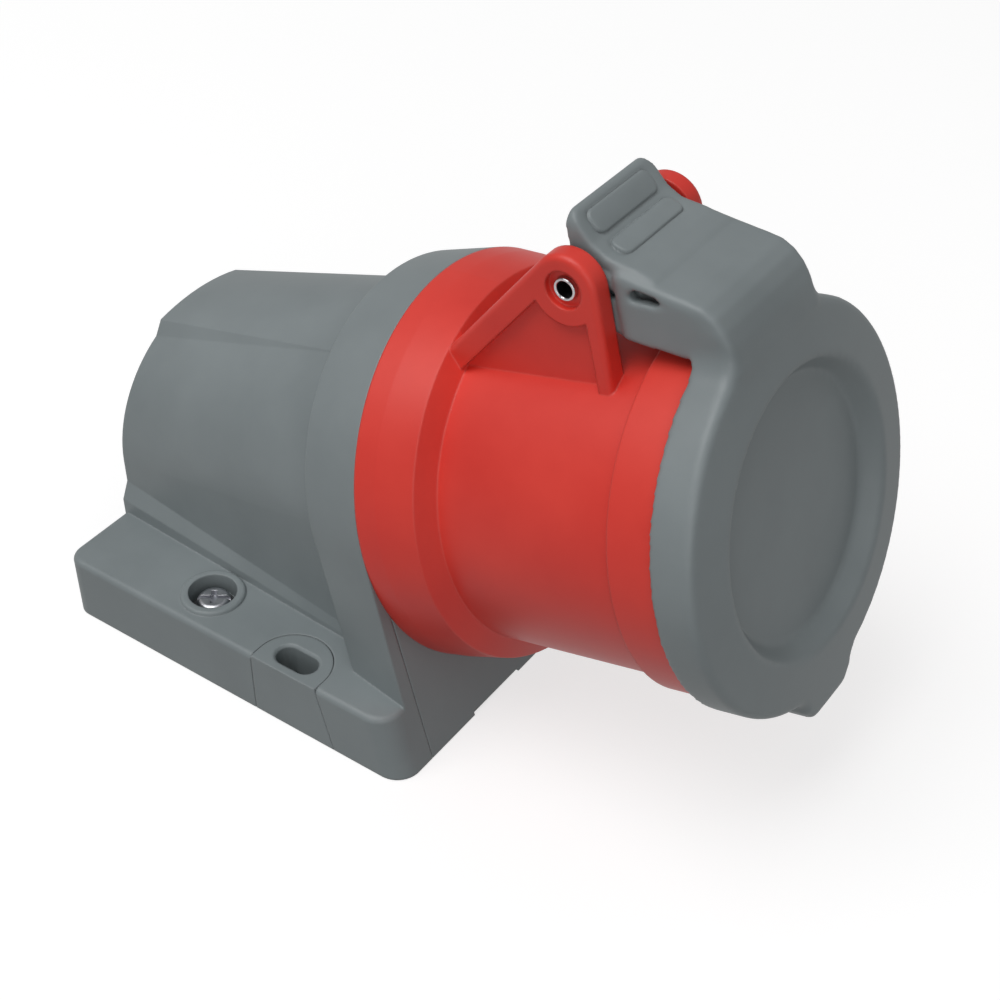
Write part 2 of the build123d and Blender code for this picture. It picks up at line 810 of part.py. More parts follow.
# Terminal block: a pocket round each terminal, its screw hole and the holes of the long screws
terminal_front_u = carrier_plate_u
with BuildPart() as terminal_block:
    with BuildSketch(face_plane.offset(block_back_u)):
        Circle(spigot_bore - slip_gap)
    extrude(amount=carrier_plate_u - block_back_u)
    for name in pole_names:
        angle = pole_angles[name]
        with BuildSketch(face_plane.offset(terminal_back_u)):
            with Locations(Location((*pole_spots[name], 0), angle)):
                Rectangle(terminal_size + 2 * contact_gap, terminal_size + 2 * contact_gap)
        extrude(amount=carrier_plate_u - terminal_back_u, mode=Mode.SUBTRACT)
        with BuildSketch(face_plane.offset(block_back_u)):
            with Locations(pole_spots[name]):
                Circle(wire_hole_r + entry_gap)
        extrude(amount=terminal_back_u - block_back_u, mode=Mode.SUBTRACT)
        spoke = face_plane.offset(terminal_screw_u)
        outward = Vector(0, cos(radians(angle)), 0) + upward * sin(radians(angle))
        with BuildSketch(Plane(origin=spoke.origin, x_dir=forward, z_dir=outward).offset(contact_pitch_r)):
            Circle(terminal_screw_r + 2 * screw_gap)
        extrude(amount=spigot_bore, mode=Mode.SUBTRACT)
    with BuildSketch(face_plane.offset(block_back_u)):
        with PolarLocations(carrier_screw_circle_r, 2):
            Circle(carrier_screw_r + screw_gap)
    extrude(amount=carrier_plate_u - block_back_u, mode=Mode.SUBTRACT)
save(terminal_block, "terminal_block")


def contact_part(name):
    """Turned brass contact with its square terminal, for one pole."""
    hole_r = pole_radius(name)
    outer_r = hole_r + contact_wall
    angle = pole_angles[name]
    spot = pole_spots[name]
    outward = Vector(0, cos(radians(angle)), 0) + upward * sin(radians(angle))
    spoke = Plane(origin=face_plane.offset(terminal_screw_u).origin, x_dir=forward, z_dir=outward)
    with BuildPart() as contact:
        with BuildSketch(face_plane.offset(terminal_back_u)):
            with Locations(Location((*spot, 0), angle)):
                Rectangle(terminal_size, terminal_size)
        extrude(amount=terminal_front_u - terminal_back_u)
        with BuildSketch(face_plane.offset(terminal_front_u)):
            with Locations(spot):
                Circle(outer_r)
        extrude(amount=contact_front_u - terminal_front_u)
        chamfer(contact.faces().sort_by(socket_axis)[-1].edges(), length=contact_mouth)
        with BuildSketch(face_plane.offset(contact_front_u)):
            with Locations(spot):
                Circle(hole_r)
        extrude(amount=-contact_bore_depth, mode=Mode.SUBTRACT)
        with BuildSketch(face_plane.offset(contact_front_u)):
            with Locations(Location((*spot, 0), angle + 45)):
                Rectangle(3 * outer_r, contact_slot)
        extrude(amount=-contact_slot_depth, mode=Mode.SUBTRACT)
        with BuildSketch(face_plane.offset(ring_groove_u)):
            with Locations(spot):
                Circle(outer_r + contact_wall)
                Circle(outer_r - ring_groove, mode=Mode.SUBTRACT)
        extrude(amount=ring_groove_width, mode=Mode.SUBTRACT)
        with BuildSketch(face_plane.offset(terminal_back_u)):
            with Locations(spot):
                Circle(wire_hole_r)
        extrude(amount=wire_hole_depth, mode=Mode.SUBTRACT)
        with BuildSketch(spoke.offset(contact_pitch_r + wire_hole_r / 2)):
            Circle(terminal_screw_r + screw_gap)
        extrude(amount=terminal_size, mode=Mode.SUBTRACT)
    return contact


for name in pole_names:
    save(contact_part(name), f"contact_{name}")

# Spring rings round the slotted contacts, each with a split
with BuildPart() as contact_springs:
    for name in pole_names:
        outer_r = pole_radius(name) + contact_wall
        with BuildSketch(face_plane.offset(ring_groove_u + screw_gap)):
            with Locations(pole_spots[name]):
                Circle(outer_r)
                Circle(outer_r - ring_groove + screw_gap / 2, mode=Mode.SUBTRACT)
            with Locations(Location((*pole_spots[name], 0), pole_angles[name])):
                with Locations((outer_r, 0)):
                    Rectangle(outer_r, ring_split, mode=Mode.SUBTRACT)
        extrude(amount=ring_groove_width - 2 * screw_gap)
save(contact_springs, "contact_springs")

# Terminal screws, one in each terminal
with BuildPart() as terminal_screws:
    for name in pole_names:
        angle = pole_angles[name]
        outward = Vector(0, cos(radians(angle)), 0) + upward * sin(radians(angle))
        spoke = Plane(origin=face_plane.offset(terminal_screw_u).origin, x_dir=forward, z_dir=outward)
        with BuildSketch(spoke.offset(contact_pitch_r + wire_hole_r)):
            Circle(terminal_screw_r)
        extrude(amount=terminal_screw_length)
        with BuildSketch(spoke.offset(contact_pitch_r + wire_hole_r + terminal_screw_length)):
            Rectangle(2 * terminal_screw_r, 0.8)
        extrude(amount=-1.2, mode=Mode.SUBTRACT)
save(terminal_screws, "terminal_screws")

# Long screws through block and carrier into the sleeve's web
with BuildPart() as carrier_screws:
    with BuildSketch(face_plane.offset(block_back_u - carrier_head_height)):
        with PolarLocations(carrier_screw_circle_r, 2):
            Circle(carrier_head_r)
    extrude(amount=carrier_head_height)
    with BuildSketch(face_plane.offset(block_back_u)):
        with PolarLocations(carrier_screw_circle_r, 2):
            Circle(carrier_screw_r)
    extrude(amount=carrier_screw_length)
    with BuildSketch(face_plane.offset(block_back_u - carrier_head_height)):
        with PolarLocations(carrier_screw_circle_r, 2):
            Rectangle(carrier_head_r * 1.2, 0.6)
    extrude(amount=carrier_head_height / 2, mode=Mode.SUBTRACT)
save(carrier_screws, "carrier_screws")

# Cable grommet: lips on both faces of the rear wall and a stepped cone with a thin closed tip
grommet_axis = Axis((0, 0, grommet_z), (1, 0, 0))
grommet_neck_r = grommet_hole_r - screw_gap
with BuildPart() as cable_grommet:
    with BuildSketch(Plane.XZ):
        with BuildLine():
            outer_x = rear_x - screw_gap
            inner_x = rear_x + wall + screw_gap
            tip_x = outer_x - grommet_lip - grommet_reach
            Polyline(
                (inner_x, grommet_z),
                (inner_x, grommet_z + grommet_neck_r - grommet_skin),
                (inner_x + grommet_lip, grommet_z + grommet_neck_r - grommet_skin),
                (inner_x + grommet_lip, grommet_z + grommet_neck_r),
                (inner_x, grommet_z + grommet_hole_r + 1),
                (inner_x, grommet_z + grommet_neck_r),
                (outer_x, grommet_z + grommet_neck_r),
                (outer_x, grommet_z + grommet_lip_r),
                (outer_x - grommet_lip, grommet_z + grommet_lip_r - 0.6),
                (outer_x - grommet_lip, grommet_z + (grommet_lip_r + grommet_tip_r) / 2),
                (tip_x + grommet_reach / 2, grommet_z + (grommet_lip_r + grommet_tip_r) / 2 - 0.5),
                (tip_x + grommet_reach / 2, grommet_z + grommet_tip_r + 0.4),
                (tip_x, grommet_z + grommet_tip_r),
                (tip_x, grommet_z),
                close=True,
            )
        make_face()
    revolve(axis=grommet_axis)
    with BuildSketch(Plane.XZ):
        with BuildLine():
            Polyline(
                (inner_x + 2 * grommet_lip, grommet_z),
                (inner_x + 2 * grommet_lip, grommet_z + grommet_neck_r - grommet_skin),
                (outer_x, grommet_z + grommet_neck_r - grommet_skin),
                (tip_x + grommet_skin, grommet_z + grommet_tip_r - grommet_skin),
                (tip_x + grommet_skin, grommet_z),
                close=True,
            )
        make_face()
    revolve(axis=grommet_axis, mode=Mode.SUBTRACT)
save(cable_grommet, "cable_grommet")

# Hinge pin: steel tube held in both ears
with BuildPart() as hinge_pin:
    with BuildSketch(pin_plane):
        Circle(pin_r)
        Circle(pin_bore_r, mode=Mode.SUBTRACT)
    extrude(amount=pin_half_length, both=True)
    ends = hinge_pin.faces().filter_by(Plane.XZ)
    chamfer(ends.edges(), length=0.15)
save(hinge_pin, "hinge_pin")

# Lid spring: coil round the pin, one leg on the sleeve and one leg on the rib inside the hood
coil_turns = spring_turns + spring_lead / 360
coil_half = coil_turns * spring_pitch / 2
lead = radians(180 - spring_lead)
lid_leg_start = (spring_coil_r * cos(lead), spring_coil_r * sin(lead))
with BuildPart() as lid_spring:
    with BuildLine():
        coil = Helix(
            pitch=spring_pitch,
            height=coil_turns * spring_pitch,
            radius=spring_coil_r,
            center=pin_origin + Vector(0, coil_half, 0),
            direction=(0, -1, 0),
            mode=Mode.PRIVATE,
        )
        begin = pin_plane.to_local_coords(coil @ 0)
        turn = Vector(*lid_leg_start, 0).get_signed_angle(Vector(begin.X, begin.Y, 0), Vector(0, 0, -1))
        coil = coil.rotate(Axis(pin_origin, (0, -1, 0)), turn)
        add(coil)
    with BuildSketch(Plane(origin=coil @ 0, z_dir=coil % 0)):
        Circle(spring_wire_r)
    sweep(path=coil, is_frenet=True)
    with BuildSketch(Plane(origin=coil @ 0, z_dir=coil % 0)):
        Circle(spring_wire_r)
    extrude(amount=-lid_leg_length)
    with BuildSketch(Plane(origin=coil @ 1, z_dir=coil % 1)):
        Circle(spring_wire_r)
    extrude(amount=pin_w - spring_foot_w)
save(lid_spring, "lid_spring")

# Lid: plate with rim, lug and the root of the hood, its front a shallow cone round the dish
rim_bore_r = collar_r + mouth_gap
plate_inner_w = rim_bore_r + hood_sill
hood_back_u = pin_u + ear_boss_r + hinge_gap
core_u = lid_front_u - slope_wall
cone_fall = (lid_front_u - lid_rim_u) / (lid_r - lid_cone_r)
front_cutter = turned(
    [
        (lid_front_u, lid_cone_r),
        (lid_rim_u - lid_cone_r * cone_fall, lid_r + lid_cone_r),
        (lid_front_u + lid_cone_r, lid_r + lid_cone_r),
        (lid_front_u + lid_cone_r, lid_cone_r),
    ]
)


def is_front_rim(edge):
    """Whether an edge runs round the lid's front rim, below the hood."""
    spot = face_plane.to_local_coords(edge.center())
    outside = spot.X**2 + spot.Y**2 > (lid_cone_r + 2) ** 2
    return outside and spot.Z > lid_rim_u - 2 and spot.Y < lid_r - 2


with BuildPart() as lid_plate:
    with BuildSketch(face_plane.offset(lid_back_u)):
        Circle(lid_r)
        with BuildLine():
            Polyline(
                (-lug_half, 0),
                (-lug_half, lug_shoulder_w),
                (-lug_tip_half, lug_tip_w),
                (lug_tip_half, lug_tip_w),
                (lug_half, lug_shoulder_w),
                (lug_half, 0),
                close=True,
            )
        make_face()
        with Locations((0, (lid_r + hood_root) / 2)):
            Rectangle(2 * hood_half, lid_r + hood_root)
    extrude(amount=lid_front_u - lid_back_u)
    long_edges = lid_plate.edges().filter_by(socket_axis)
    tips = long_edges.filter_by(lambda e: face_plane.to_local_coords(e.center()).Y < lug_shoulder_w + 1)
    fillet(tips, radius=lug_tip_r)
    roots = lid_plate.edges().filter_by(socket_axis)
    roots = roots.filter_by(lambda e: abs(abs(e.center().Y) - lug_half) < 0.01)
    fillet(roots.sort_by(Axis.Z)[-2:], radius=lug_blend_r)
    wings = lid_plate.edges().filter_by(socket_axis)
    wings = wings.filter_by(lambda e: abs(abs(e.center().Y) - hood_half) < 0.01)
    fillet(wings.sort_by(Axis.Z)[:2], radius=hood_blend_r)
    add(front_cutter, mode=Mode.SUBTRACT)
    fillet(lid_plate.edges().filter_by(is_front_rim), radius=lid_edge_r)
    with BuildSketch(face_plane.offset(lid_back_u)):
        with Locations((0, lid_r + hood_root)):
            Rectangle(2 * (hood_half - hood_wall), 2 * hood_root)
    extrude(amount=lid_front_u - lid_back_u, mode=Mode.SUBTRACT)

# Hood: side profile, rounded bends, and rounded corners towards the tab
hood_outline = [
    (hood_back_u, hood_foot[-1][1] + 1),
    (hood_back_u, hood_crest[0][1] + 0.8),
    *hood_crest,
    slope_foot,
    (core_u, slope_foot[1]),
    (core_u, plate_inner_w),
    (hood_foot[0][0], plate_inner_w),
    *hood_foot,
]
with BuildPart() as hood:
    with BuildSketch(side_plane) as hood_side:
        with BuildLine():
            Polyline(*hood_outline, close=True)
        make_face()
        bends = hood_side.vertices().filter_by(
            lambda v: v.X > hood_crest[0][0] + 1 and v.Y > hood_crest[-1][1] + 2
        )
        fillet(bends, radius=hood_bend_r)
    extrude(amount=hood_half, both=True)
    back_corners = hood.edges().filter_by(Axis((0, 0, 0), upward))
    back_corners = back_corners.sort_by(Axis.X)[:2]
    fillet(back_corners, radius=hood_half - tab_half)

# Thumb tab: side profile, cut to a plan with round corners, and two grip pockets
with BuildPart() as tab:
    with BuildSketch(side_plane):
        with BuildLine():
            Polyline(*tab_back, *tab_front, tab_foot, (pin_u, pin_w), close=True)
        make_face()
    extrude(amount=tab_half, both=True)
    with BuildSketch(face_plane) as tab_plan:
        with Locations((0, tab_top_w / 2)):
            Rectangle(2 * tab_half, tab_top_w)
        fillet(tab_plan.vertices().sort_by(Axis.Y)[-2:], radius=tab_corner_r)
    extrude(amount=2 * mouth_u, mode=Mode.INTERSECT)
    for top, bottom in (upper_grip, lower_grip):
        outward = Vector(top[1] - bottom[1], bottom[0] - top[0], 0).normalized()
        high, low = Vector(*top, 0), Vector(*bottom, 0)
        pocket = [high - outward * grip_depth, low - outward * grip_depth, low + outward, high + outward]
        add(side_slab([(corner.X, corner.Y) for corner in pocket], grip_half), mode=Mode.SUBTRACT)

hood_cavity = side_slab(
    [(pin_u, cavity_outline[0][1]), *cavity_outline, (pin_u, cavity_outline[-1][1])],
    hood_half - hood_wall,
)
chamber_r = spring_coil_r + spring_wire_r + 2 * hinge_gap
spring_chamber = side_slab([(pin_u, pin_w), *chamber_outline], knuckle_inner)
spring_rest = side_slab(rest_outline, hood_half - hood_wall / 2)
slope_clear_u = lid_front_u + 2 * wall
slope_cutter = side_slab(
    [
        hood_crest[-2],
        hood_crest[-1],
        slope_foot,
        (slope_clear_u, slope_foot[1]),
        (slope_clear_u, hood_crest[0][1]),
    ],
    2 * hood_half,
)
seal_bore = turned(
    [
        (lid_back_u - 1, 0),
        (lid_back_u - 1, rim_bore_r),
        (seal_seat_u, rim_bore_r),
        (seal_seat_u, 0),
    ]
)
rib_ring = turned(
    [
        (seal_seat_u - rib_height, rib_inner_r),
        (seal_seat_u - rib_height, seal_inner_r - slip_gap),
        (seal_seat_u + 1, seal_inner_r - slip_gap),
        (seal_seat_u + 1, rib_inner_r),
    ]
)
dish_floor_u = lid_front_u - dish_depth
with BuildPart() as dish:
    with BuildSketch(side_plane) as dish_side:
        with BuildLine():
            Polyline(
                (dish_floor_u, 0),
                (dish_floor_u, dish_floor_r),
                (lid_front_u, dish_r),
                (lid_front_u, dish_r + wall),
                (lid_front_u + wall, dish_r + wall),
                (lid_front_u + wall, 0),
                close=True,
            )
        make_face()
        rim_and_foot = dish_side.vertices().filter_by(lambda v: dish_floor_r - 0.1 < v.Y < dish_r + 0.1)
        fillet(rim_and_foot, radius=dish_edge_r)
    revolve(axis=socket_axis)

with BuildPart() as lid:
    add(hood.part)
    top_rims = lid.edges().filter_by(
        lambda e: abs(abs(e.center().Y) - hood_half) < 0.01
        and side_plane.to_local_coords(e.center()).X > hood_crest[0][0]
        and side_plane.to_local_coords(e.center()).Y > lid_r + hood_root - 1
    )
    fillet(top_rims, radius=hood_edge_r)
    add(tab.part)
    add(hood_cavity, mode=Mode.SUBTRACT)
    for side in (-1, 1):
        with BuildSketch(pin_plane.offset(side * (knuckle_inner + tab_half) / 2)):
            Circle(knuckle_r)
    extrude(amount=(tab_half - knuckle_inner) / 2, both=True)
    add(spring_chamber, mode=Mode.SUBTRACT)
    with BuildSketch(pin_plane):
        Circle(chamber_r)
    extrude(amount=knuckle_inner, both=True, mode=Mode.SUBTRACT)
    add(spring_rest)
    add(lid_plate.part)
    add(slope_cutter, mode=Mode.SUBTRACT)
    add(side_slab(window_outline, 2 * hood_half), mode=Mode.SUBTRACT)
    add(seal_bore, mode=Mode.SUBTRACT)
    add(rib_ring)
    add(dish.part, mode=Mode.SUBTRACT)
    with BuildSketch(pin_plane):
        Circle(pin_r + pin_running_gap)
    extrude(amount=2 * ear_outer, both=True, mode=Mode.SUBTRACT)
save(lid, "lid")

# Lid seal
seal_ring = turned(
    [
        (seal_seat_u, seal_inner_r),
        (seal_seat_u, rim_bore_r - slip_gap),
        (mouth_u + seal_squeeze_gap, rim_bore_r - slip_gap),
        (mouth_u + seal_squeeze_gap, seal_inner_r),
    ]
)
with BuildPart() as lid_seal:
    add(seal_ring)
save(lid_seal, "lid_seal")
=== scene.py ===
import json
from math import cos, radians, sin

import bmesh
import bpy
from mathutils import Matrix, Vector


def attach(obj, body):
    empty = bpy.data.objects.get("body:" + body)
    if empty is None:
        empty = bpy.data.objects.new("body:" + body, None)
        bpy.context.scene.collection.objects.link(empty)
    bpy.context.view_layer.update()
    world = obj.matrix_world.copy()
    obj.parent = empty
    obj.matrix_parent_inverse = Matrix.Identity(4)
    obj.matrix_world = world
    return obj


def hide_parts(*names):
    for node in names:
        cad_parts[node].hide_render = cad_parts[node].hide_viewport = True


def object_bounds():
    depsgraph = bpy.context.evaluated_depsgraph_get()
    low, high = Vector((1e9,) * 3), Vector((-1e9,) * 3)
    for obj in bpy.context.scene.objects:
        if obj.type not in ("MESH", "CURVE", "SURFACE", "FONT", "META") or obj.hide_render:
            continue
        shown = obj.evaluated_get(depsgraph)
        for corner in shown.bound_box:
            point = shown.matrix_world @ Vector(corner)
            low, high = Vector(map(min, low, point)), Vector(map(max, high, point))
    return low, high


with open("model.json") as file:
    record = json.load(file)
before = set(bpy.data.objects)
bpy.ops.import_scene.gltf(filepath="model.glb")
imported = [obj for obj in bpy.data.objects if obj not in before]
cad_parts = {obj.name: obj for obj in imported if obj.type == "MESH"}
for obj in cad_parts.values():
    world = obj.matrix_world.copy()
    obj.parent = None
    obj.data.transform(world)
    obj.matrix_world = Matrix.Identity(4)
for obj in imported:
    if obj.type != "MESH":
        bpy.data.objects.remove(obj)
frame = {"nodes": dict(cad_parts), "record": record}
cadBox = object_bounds()
print("frame loaded:", len(frame["nodes"]), "nodes")


def linear(value):
    # sRGB 0-255 to the scene's linear colour
    value = value / 255
    return value / 12.92 if value <= 0.04045 else ((value + 0.055) / 1.055) ** 2.4


def colour(rgb):
    return (linear(rgb[0]), linear(rgb[1]), linear(rgb[2]), 1.0)


# what each material looks like; tones are sRGB as the eye reads them
greyPlastic = dict(
    light=(134, 142, 144), dark=(123, 131, 133), worn=(158, 165, 167),
    roughness=(0.40, 0.52), patch=45.0, grain=2600.0, grainDepth=0.00002, edge=0.0006, wear=0.35,
)
redPlastic = dict(
    light=(230, 66, 54), dark=(216, 52, 42), worn=(238, 104, 92),
    roughness=(0.36, 0.47), patch=40.0, grain=2600.0, grainDepth=0.00002, edge=0.0006, wear=0.3,
)
blackPlastic = dict(
    light=(42, 43, 46), dark=(31, 32, 34), worn=(78, 80, 84),
    roughness=(0.45, 0.6), patch=60.0, grain=2200.0, grainDepth=0.00003, edge=0.0005, wear=0.3,
)
greyRubber = dict(
    light=(70, 71, 74), dark=(55, 56, 59), worn=(96, 98, 101),
    roughness=(0.7, 0.85), patch=70.0, grain=1500.0, grainDepth=0.00005, edge=0.0004, wear=0.25,
)
zincSteel = dict(
    light=(205, 206, 210), dark=(178, 180, 186), worn=(228, 229, 232),
    roughness=(0.24, 0.38), patch=240.0, grain=3200.0, grainDepth=0.00001, edge=0.0002, wear=0.5,
)
pinSteel = dict(
    light=(214, 214, 216), dark=(186, 187, 190), worn=(235, 235, 236),
    roughness=(0.16, 0.26), patch=200.0, grain=3600.0, grainDepth=0.000006, edge=0.0002, wear=0.5,
)
springSteel = dict(
    light=(176, 178, 182), dark=(146, 148, 153), worn=(205, 206, 210),
    roughness=(0.25, 0.4), patch=260.0, grain=3200.0, grainDepth=0.00001, edge=0.0002, wear=0.4,
)
turnedBrass = dict(
    light=(214, 178, 104), dark=(186, 148, 78), worn=(236, 208, 142),
    roughness=(0.2, 0.36), patch=220.0, grain=3000.0, grainDepth=0.00001, edge=0.0002, wear=0.4,
)
# what all of them share
surface = dict(
    patchDetail=4.0, toneFrom=0.3, toneTo=0.7, grainDetail=2.0, bumpStrength=0.6,
    edgeSamples=6, edgeFrom=0.99, edgeTo=0.85,  # how far the rounded normal may lean before an edge shows
)


def wornSurface(name, look, metal=0.0):
    # two tones in soft patches, a moulded or drawn grain, and lighter edges
    material = bpy.data.materials.new(name)
    material.use_nodes = True
    nodes, links = material.node_tree.nodes, material.node_tree.links
    shader = nodes["Principled BSDF"]
    shader.inputs["Metallic"].default_value = metal
    place = nodes.new("ShaderNodeTexCoord")

    patches = nodes.new("ShaderNodeTexNoise")
    patches.inputs["Scale"].default_value = look["patch"]
    patches.inputs["Detail"].default_value = surface["patchDetail"]
    links.new(place.outputs["Object"], patches.inputs["Vector"])

    tones = nodes.new("ShaderNodeValToRGB")
    darkEnd, lightEnd = tones.color_ramp.elements
    darkEnd.position, darkEnd.color = surface["toneFrom"], colour(look["dark"])
    lightEnd.position, lightEnd.color = surface["toneTo"], colour(look["light"])
    links.new(patches.outputs["Fac"], tones.inputs["Fac"])

    rounded = nodes.new("ShaderNodeBevel")  # where it leaves the true normal, there is an edge
    rounded.samples = surface["edgeSamples"]
    rounded.inputs["Radius"].default_value = look["edge"]
    trueNormal = nodes.new("ShaderNodeNewGeometry")
    facing = nodes.new("ShaderNodeVectorMath")
    facing.operation = "DOT_PRODUCT"
    links.new(rounded.outputs["Normal"], facing.inputs[0])
    links.new(trueNormal.outputs["Normal"], facing.inputs[1])
    edgeMask = nodes.new("ShaderNodeMapRange")
    edgeMask.inputs["From Min"].default_value = surface["edgeFrom"]
    edgeMask.inputs["From Max"].default_value = surface["edgeTo"]
    edgeMask.inputs["To Max"].default_value = look["wear"]
    links.new(facing.outputs["Value"], edgeMask.inputs["Value"])

    worn = nodes.new("ShaderNodeMix")
    worn.data_type = "RGBA"
    worn.inputs["B"].default_value = colour(look["worn"])
    links.new(edgeMask.outputs["Result"], worn.inputs["Factor"])
    links.new(tones.outputs["Color"], worn.inputs["A"])
    links.new(worn.outputs["Result"], shader.inputs["Base Color"])

    gloss = nodes.new("ShaderNodeMapRange")
    gloss.inputs["To Min"].default_value = look["roughness"][0]
    gloss.inputs["To Max"].default_value = look["roughness"][1]
    links.new(patches.outputs["Fac"], gloss.inputs["Value"])
    links.new(gloss.outputs["Result"], shader.inputs["Roughness"])

    grain = nodes.new("ShaderNodeTexNoise")
    grain.inputs["Scale"].default_value = look["grain"]
    grain.inputs["Detail"].default_value = surface["grainDetail"]
    links.new(place.outputs["Object"], grain.inputs["Vector"])
    bump = nodes.new("ShaderNodeBump")
    bump.inputs["Strength"].default_value = surface["bumpStrength"]
    bump.inputs["Distance"].default_value = look["grainDepth"]
    links.new(grain.outputs["Fac"], bump.inputs["Height"])
    links.new(rounded.outputs["Normal"], bump.inputs["Normal"])  # moulded edges catch the light
    links.new(bump.outputs["Normal"], shader.inputs["Normal"])
    return material


finishes = {
    "grey_plastic": wornSurface("greyPlastic", greyPlastic),
    "red_plastic": wornSurface("redPlastic", redPlastic),
    "black_plastic": wornSurface("blackPlastic", blackPlastic),
    "grey_rubber": wornSurface("greyRubber", greyRubber),
    "zinc_steel": wornSurface("zincSteel", zincSteel, metal=1.0),
    "pin_steel": wornSurface("pinSteel", pinSteel, metal=1.0),
    "spring_steel": wornSurface("springSteel", springSteel, metal=1.0),
    "brass": wornSurface("turnedBrass", turnedBrass, metal=1.0),
}
slotOf = {part["node"]: part["material_slot"] for part in frame["record"]["subparts"]}
for nodeName, node in frame["nodes"].items():
    for place in node.material_slots:
        place.material = finishes[slotOf[nodeName]]
print("finishes on", len(slotOf), "nodes")

# where the socket's axis leaves the collar ring's face, in millimetres, and how far it leans up
mm = 0.001
axisX, axisZ, lean = 16.706, 45.882, radians(15)

# the lid's skin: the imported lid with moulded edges, its thumb pads and the folds beside the ears;
# lengths in millimetres, outlines as distances along and above the socket's axis
lidSkin = dict(
    weld=0.002, voxel=0.47, softness=0.5,
    edgePasses=2, pin=(40.4, 48.05), knuckleKeep=5.6,  # no smoothing this near to the pin
    windowU=(43.0, 58.8), windowW=(43.6, 49.6), windowSide=10.0,  # one pass only, to stay crisp
    flowPasses=14, flowU=(65.0, 72.5), flowW=(30.0, 39.0), flowFade=0.3,  # where the hood flows into the disc
    pads=(((41.35, 58.05), (43.75, 54.2)), ((44.85, 53.0), (48.5, 51.1))),  # each from its top to its foot
    padHalf=9.1, padRise=0.45, padSink=1.4, padCorner=1.6, padCornerSteps=5, padEdge=0.35, padEdgeSteps=3,
    folds=(
        (
            (43.0, 45.5), (45.4, 45.1), (48.2, 44.3), (50.6, 43.5),
            (50.6, 37.45), (46.85, 38.15), (43.5, 39.5),
        ),
        (
            (43.0, 48.6), (43.0, 47.7), (45.4, 46.9), (48.0, 45.9),
            (49.4, 46.6), (47.6, 48.2), (45.4, 49.3),
        ),
    ),
    foldSides=(11.2, 13.05),
    lining=((43.6, 42.5), (60.4, 43.2), (60.4, 44.6), (50.6, 47.8), (46.0, 49.6)), liningSides=(9.4, 10.4),
    browCrest=(
        (54.0, 48.2), (61.0, 46.15), (63.9, 45.05), (66.0, 43.3), (67.4, 41.0), (68.4, 38.2), (68.9, 35.6),
    ),
    browBelly=((67.0, 37.0), (64.5, 41.0), (62.0, 43.5), (56.0, 45.6)),
    browHalf=13.75, browEdge=1.1, browEdgeSteps=4,
    # the hood's widening upper edge: how far along, its top, its foot and how far to each side
    flareBack=(44.0, 52.3, 50.9, 12.0), flareFront=(54.5, 47.4, 46.4, 13.6), flareRoot=10.5,
)


def alongAndAbove(spot):
    x, z = spot.x / mm - axisX, spot.z / mm - axisZ
    return x * cos(lean) + z * sin(lean), z * cos(lean) - x * sin(lean)


def spotAt(along, above, beside=0.0):
    x = axisX + along * cos(lean) - above * sin(lean)
    z = axisZ + along * sin(lean) + above * cos(lean)
    return Vector((x * mm, beside * mm, z * mm))


def edgesOf(points):
    # each edge once, always in the same order
    return list(dict.fromkeys(edge for point in points for edge in point.link_edges))


def roundOff(shape, edges, width, steps):
    return bmesh.ops.bevel(
        shape, geom=edges, offset=width * mm, segments=steps, profile=0.5, affect="EDGES", material=-1
    )


def sideBlock(shape, outline, low, high):
    # a closed block with a side outline, from one distance beside the middle to another
    near = [shape.verts.new(spotAt(along, above, low)) for along, above in outline]
    made = bmesh.ops.extrude_face_region(shape, geom=[shape.faces.new(near)])["geom"]
    far = [item for item in made if isinstance(item, bmesh.types.BMVert)]
    bmesh.ops.translate(shape, verts=far, vec=(0, (high - low) * mm, 0))
    return near + far


def browBlock(shape):
    # fills out the hood's bend, with rounded outer rims
    half, crest = lidSkin["browHalf"], lidSkin["browCrest"]
    places = {spotAt(*place, side * half).to_tuple(6) for place in crest for side in (-1, 1)}
    points = sideBlock(shape, crest + lidSkin["browBelly"], -half, half)
    outer = [point for point in points if point.co.to_tuple(6) in places]
    rims = [edge for edge in edgesOf(outer) if edge.verts[0] in outer and edge.verts[1] in outer]
    rims = [edge for edge in rims if edge.calc_length() < half * mm]  # not the ones straight across
    roundOff(shape, rims, lidSkin["browEdge"], lidSkin["browEdgeSteps"])


def thumbPad(shape, top, foot):
    # a slab sunk into the tab, with rounded corners and a softened rim
    start, end = spotAt(*top), spotAt(*foot)
    along, across = (end - start).normalized(), Vector((0, 1, 0))
    out = along.cross(across)
    rise, sink = lidSkin["padRise"] * mm, lidSkin["padSink"] * mm
    middle = Matrix.Translation((start + end) / 2 + out * (rise - sink) / 2)
    turn = Matrix((along, across, out)).transposed().to_4x4()
    size = Matrix.Diagonal(((end - start).length, 2 * lidSkin["padHalf"] * mm, rise + sink, 1))
    points = bmesh.ops.create_cube(shape, size=1, matrix=middle @ turn @ size)["verts"]
    corners = [
        edge for edge in edgesOf(points)
        if abs((edge.verts[1].co - edge.verts[0].co).normalized().dot(out)) > 0.9
    ]
    made = roundOff(shape, corners, lidSkin["padCorner"], lidSkin["padCornerSteps"])
    faces = dict.fromkeys(face for point in made["verts"] for face in point.link_faces)
    face = max(faces, key=lambda each: each.normal.dot(out))
    roundOff(shape, list(face.edges), lidSkin["padEdge"], lidSkin["padEdgeSteps"])


def capFlare(shape, side):
    points = []
    for along, top, foot, wide in (lidSkin["flareBack"], lidSkin["flareFront"]):
        for above in (top, foot):
            for beside in (wide, lidSkin["flareRoot"]):
                points.append(shape.verts.new(spotAt(along, above, side * beside)))
    bmesh.ops.convex_hull(shape, input=points)


